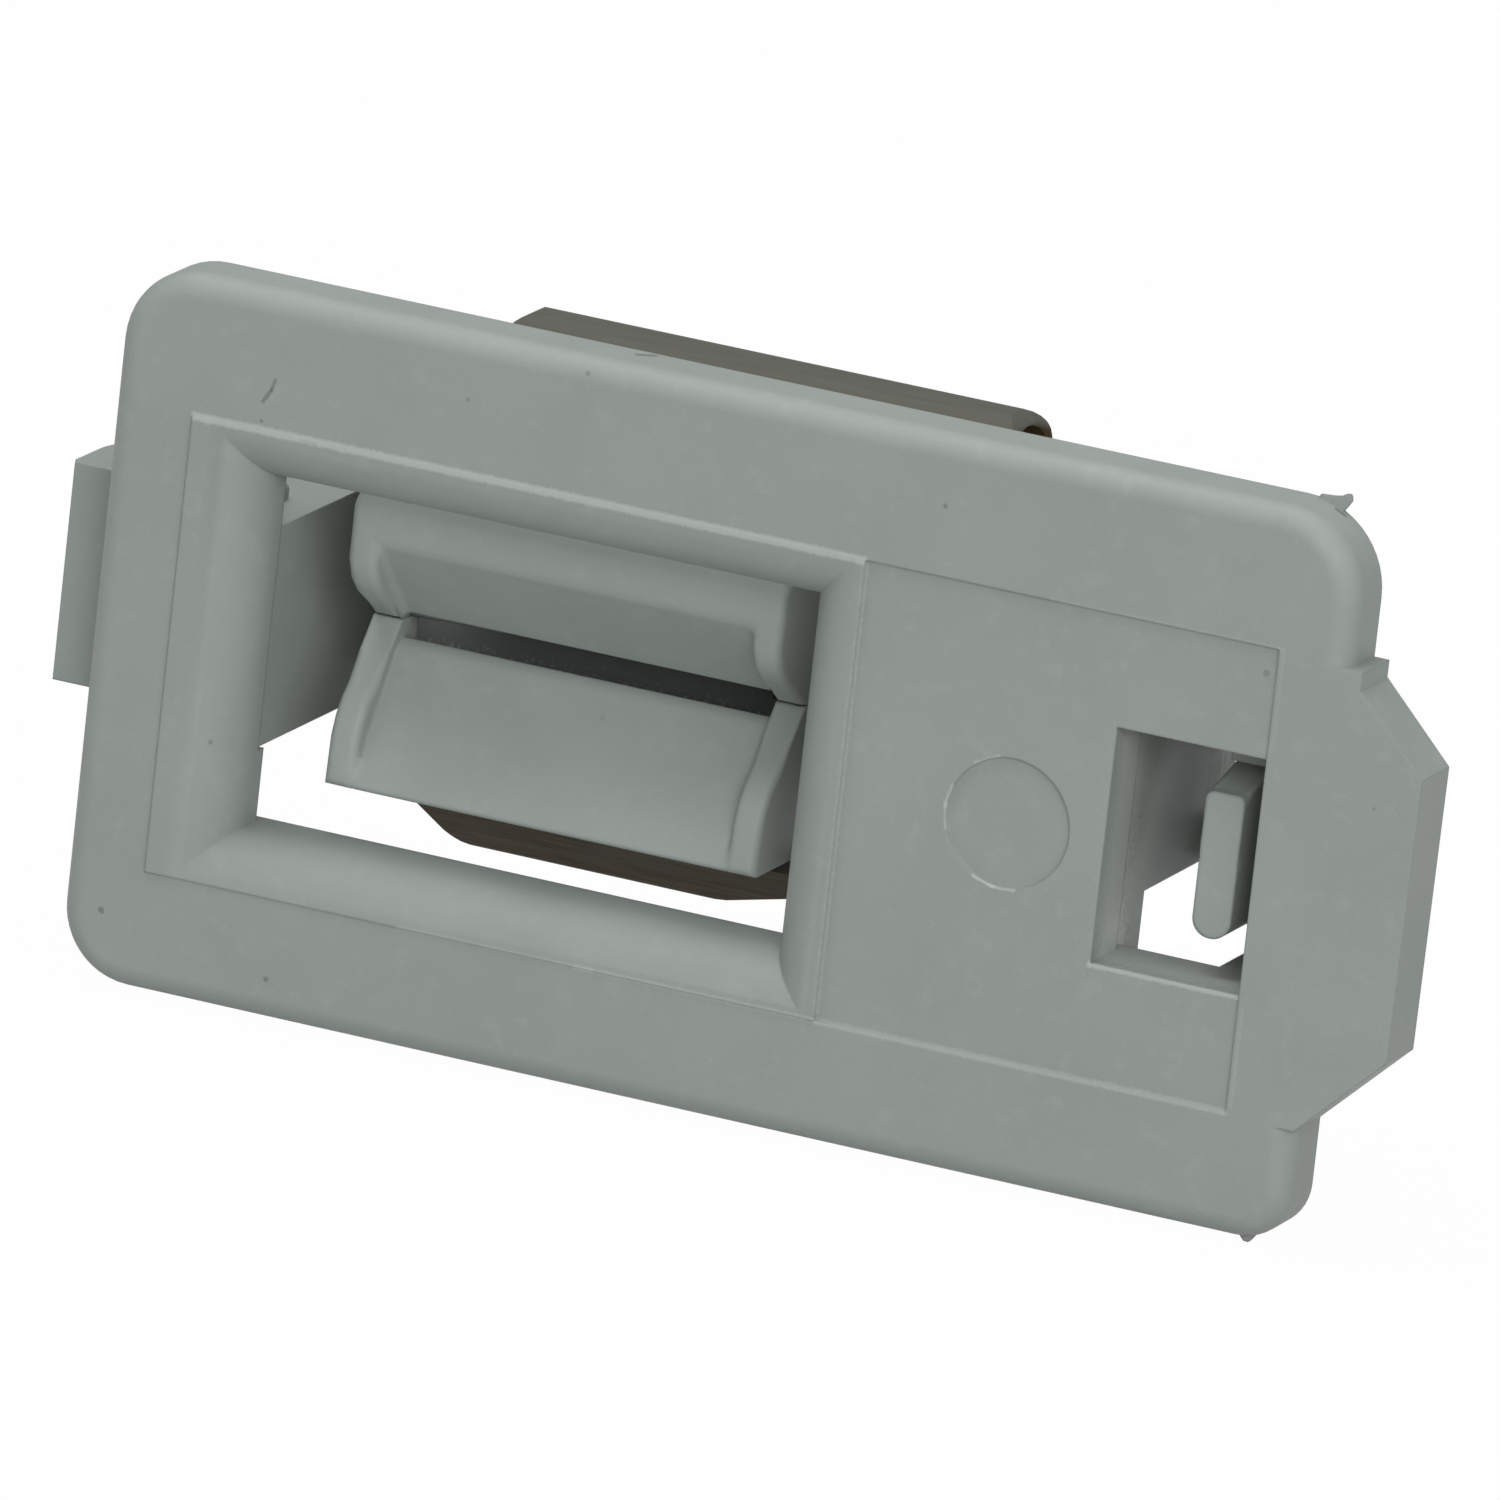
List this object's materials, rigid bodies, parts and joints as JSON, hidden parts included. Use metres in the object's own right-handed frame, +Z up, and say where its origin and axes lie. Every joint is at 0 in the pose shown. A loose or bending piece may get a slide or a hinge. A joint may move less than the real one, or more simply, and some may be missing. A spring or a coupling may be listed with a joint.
{
  "type": "dryer door lock",
  "caption": "Push-in door catch for a tumble dryer: plate with rolled surround, sprung jaws that grip a striker, panel hook, grip tab and a switch slider in a small window.",
  "frame": {"origin": "centre of the plate's rear seat, the face that lies on the dryer's panel", "axes": "+Y points into the dryer, square to the panel; +X is to the right along the plate as seen from the door; +Z is up"},
  "size_m": [0.0855, 0.0301, 0.042],
  "materials": {
    "grey_plastic": "matte",
    "jaw_plastic": "matte",
    "spring_steel": "satin",
    "switch_plastic": "satin",
    "plunger_plastic": "gloss",
    "terminal_metal": "satin"
  },
  "bodies": {
    "housing": {"housing": "grey_plastic", "spring_clip": "spring_steel", "switch_case": "switch_plastic", "terminal_common": "terminal_metal", "terminal_open": "terminal_metal"},
    "upper_jaw": {"upper_jaw": "jaw_plastic"},
    "lower_jaw": {"lower_jaw": "jaw_plastic"},
    "switch_slider": {"switch_slider": "jaw_plastic"},
    "switch_plunger": {"switch_plunger": "plunger_plastic"}
  },
  "joints": [
    {"name": "upper_jaw_pivot", "type": "hinge", "parent": "housing", "child": "upper_jaw", "pos_m": [-0.01135, 0.018, 0.00405], "axis": [-1, 0, 0], "range_deg": [0, 12], "stiffness_Nm_per_rad": 0.5, "springref_deg": -20.05, "deforming": ["spring_clip"]},
    {"name": "lower_jaw_pivot", "type": "hinge", "parent": "housing", "child": "lower_jaw", "pos_m": [-0.01135, 0.018, -0.00275], "axis": [1, 0, 0], "range_deg": [0, 12], "stiffness_Nm_per_rad": 0.5, "springref_deg": -20.05},
    {"name": "slider_travel", "type": "slide", "parent": "housing", "child": "switch_slider", "axis": [0, 1, 0], "range_m": [0, 0.0012], "stiffness_N_per_m": 400, "springref_m": -0.002},
    {"name": "plunger_travel", "type": "slide", "parent": "housing", "child": "switch_plunger", "axis": [0, 1, 0], "range_m": [0, 0.0012]}
  ],
  "couplings": [
    {"joint": "plunger_travel", "follows": "slider_travel", "ratio": 1}
  ]
}
